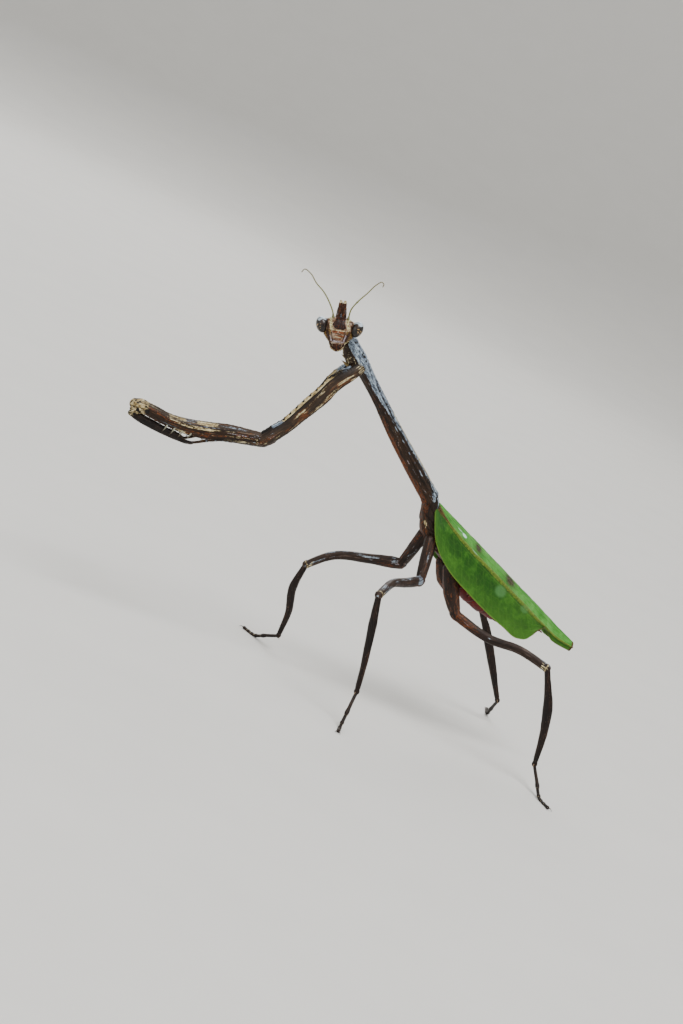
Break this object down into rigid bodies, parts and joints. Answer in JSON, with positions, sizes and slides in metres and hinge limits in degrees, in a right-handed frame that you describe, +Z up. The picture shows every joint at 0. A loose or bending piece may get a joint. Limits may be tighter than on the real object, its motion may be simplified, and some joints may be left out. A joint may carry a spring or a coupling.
{
  "type": "texas unicorn mantis",
  "caption": "Life-size still model of a unicorn mantis standing on its walking legs, with green folded wings, a forked horn and its raptorial forelegs held out in front.",
  "frame": {"origin": "middle of the whole model's box, on the floor that its feet stand on", "axes": "+Z up, the animal faces -Y, its left side is +X"},
  "size_m": [0.0488, 0.09, 0.0619],
  "materials": {
    "bark": "mottled brown chitin with pale grey, cream and rust streaks",
    "belly": "dark brown abdomen with a dark red edge",
    "leaf": "leaf green wing membrane with raised veins",
    "veil": "pale folded hindwing membrane",
    "face": "cream face with a rust band and a dark shield",
    "eye": "glossy dark compound eye with pale stripes",
    "jaw": "dark brown mouthparts",
    "horn": "red-brown horn with pale tips",
    "feeler": "ringed olive feeler",
    "leg": "dark purplish brown with a grey sheen",
    "shin": "nearly black brown",
    "foot": "dark brown with paler joints"
  },
  "bodies": {
    "root": {"abdomen": "belly", "antenna_left": "feeler", "antenna_right": "feeler", "eye_left": "eye", "eye_right": "eye", "fore_left_coxa": "bark", "fore_left_femur": "bark", "fore_left_tarsus": "foot", "fore_left_tibia": "shin", "fore_right_coxa": "bark", "fore_right_femur": "bark", "fore_right_tarsus": "foot", "fore_right_tibia": "shin", "forewing_left": "leaf", "forewing_right": "leaf", "head": "face", "hind_left_coxa": "leg", "hind_left_femur": "leg", "hind_left_tarsus": "foot", "hind_left_tibia": "shin", "hind_right_coxa": "leg", "hind_right_femur": "leg", "hind_right_tarsus": "foot", "hind_right_tibia": "shin", "hindwing_left": "veil", "hindwing_right": "veil", "horn": "horn", "mid_left_coxa": "leg", "mid_left_femur": "leg", "mid_left_tarsus": "foot", "mid_left_tibia": "shin", "mid_right_coxa": "leg", "mid_right_femur": "leg", "mid_right_tarsus": "foot", "mid_right_tibia": "shin", "mouthparts": "jaw", "neck": "bark", "prothorax": "bark", "pterothorax": "bark"}
  },
  "joints": []
}
